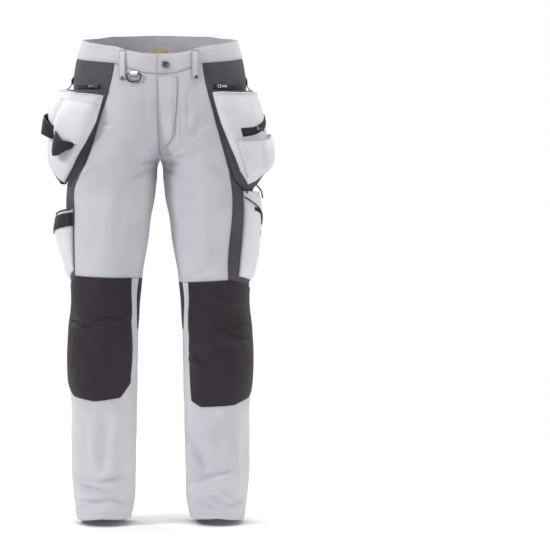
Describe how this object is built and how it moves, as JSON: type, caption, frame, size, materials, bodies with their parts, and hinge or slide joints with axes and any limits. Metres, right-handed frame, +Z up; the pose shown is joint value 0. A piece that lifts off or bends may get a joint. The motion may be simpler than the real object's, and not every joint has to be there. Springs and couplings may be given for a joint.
{
  "type": "work trousers",
  "caption": "Work trousers as worn, hollow, with hanging tool holsters, knee patches, cargo and ruler pockets and a trapezoid ring at the waistband.",
  "frame": {"origin": "centre of the waist opening, at the level of the waist", "axes": "+X to the wearer's left, +Y to the wearer's back, +Z up; the front faces -Y"},
  "size_m": [0.5237, 0.2788, 1.0765],
  "materials": {
    "white_cloth": "matt white cotton and polyester twill",
    "dark_cordura": "matt dark grey hard-wearing nylon",
    "black_stretch": "matt black stretch cloth",
    "patch_cordura": "matt anthracite hard-wearing nylon",
    "webbing": "black woven webbing",
    "plastic": "moulded dark plastic",
    "metal": "dark enamelled zip metal",
    "button_metal": "dull nickel",
    "cord": "black braided cord",
    "label_cloth": "plain yellow woven label"
  },
  "bodies": {
    "root": {"front_thigh_right": "white_cloth", "front_thigh_left": "white_cloth", "back_thigh_right": "white_cloth", "back_thigh_left": "white_cloth", "front_shin_right": "white_cloth", "front_shin_left": "white_cloth", "back_calf_right": "white_cloth", "back_calf_left": "white_cloth", "side_panel_right": "dark_cordura", "side_panel_left": "dark_cordura", "back_knee_right": "black_stretch", "back_knee_left": "black_stretch", "heel_guard_right": "patch_cordura", "heel_guard_left": "patch_cordura", "knee_patch_right": "patch_cordura", "knee_patch_left": "patch_cordura", "waistband": "white_cloth", "fly": "white_cloth", "button": "button_metal", "belt_loop_front_right": "white_cloth", "belt_loop_front_left": "white_cloth", "belt_loop_back_right": "white_cloth", "belt_loop_back_left": "white_cloth", "belt_loop_centre": "white_cloth", "back_pocket_band_right": "dark_cordura", "back_pocket_band_left": "dark_cordura", "back_pocket_right": "white_cloth", "back_pocket_left": "white_cloth", "holster_back_right": "dark_cordura", "holster_back_left": "dark_cordura", "holster_bag_right": "white_cloth", "holster_bag_left": "white_cloth", "holster_pocket_right": "white_cloth", "holster_pocket_left": "white_cloth", "holster_zip_left": "dark_cordura", "tool_loop_inner": "webbing", "tool_loop_outer": "webbing", "holster_strap_right": "webbing", "holster_strap_left": "webbing", "adjuster_right": "plastic", "adjuster_left": "plastic", "hip_buckle_right": "plastic", "hip_buckle_left": "plastic", "ring_tab": "white_cloth", "cargo_pocket": "white_cloth", "cargo_flap": "white_cloth", "ruler_pocket": "white_cloth", "ruler_strap": "webbing", "zip_slider_hand_right": "metal", "zip_slider_hand_left": "metal", "zip_slider_holster_left": "metal", "cord_holster": "cord", "cord_knee": "cord", "cord_toggle": "plastic", "side_label": "label_cloth"},
    "ring_body": {"ring": "plastic"},
    "pull_hand_right_body": {"zip_pull_hand_right": "metal"},
    "pull_hand_left_body": {"zip_pull_hand_left": "metal"},
    "pull_holster_body": {"zip_pull_holster_left": "metal"}
  },
  "joints": [
    {"name": "ring_swing", "type": "hinge", "parent": "root", "child": "ring_body", "pos_m": [-0.05627, -0.12355, -0.06289], "axis": [-0.9879, 0.155, 0], "range_deg": [0, 120]},
    {"name": "pull_hand_right_swing", "type": "hinge", "parent": "root", "child": "pull_hand_right_body", "pos_m": [-0.14076, -0.09316, -0.08951], "axis": [0.0636, 0.0848, 0.9944], "range_deg": [0, 150]},
    {"name": "pull_hand_left_swing", "type": "hinge", "parent": "root", "child": "pull_hand_left_body", "pos_m": [0.13046, -0.10025, -0.08946], "axis": [0.0629, -0.0994, -0.9931], "range_deg": [0, 150]},
    {"name": "pull_holster_swing", "type": "hinge", "parent": "root", "child": "pull_holster_body", "pos_m": [0.2161, -0.07581, -0.18039], "axis": [-0.1557, -0.313, -0.9369], "range_deg": [0, 150]}
  ]
}
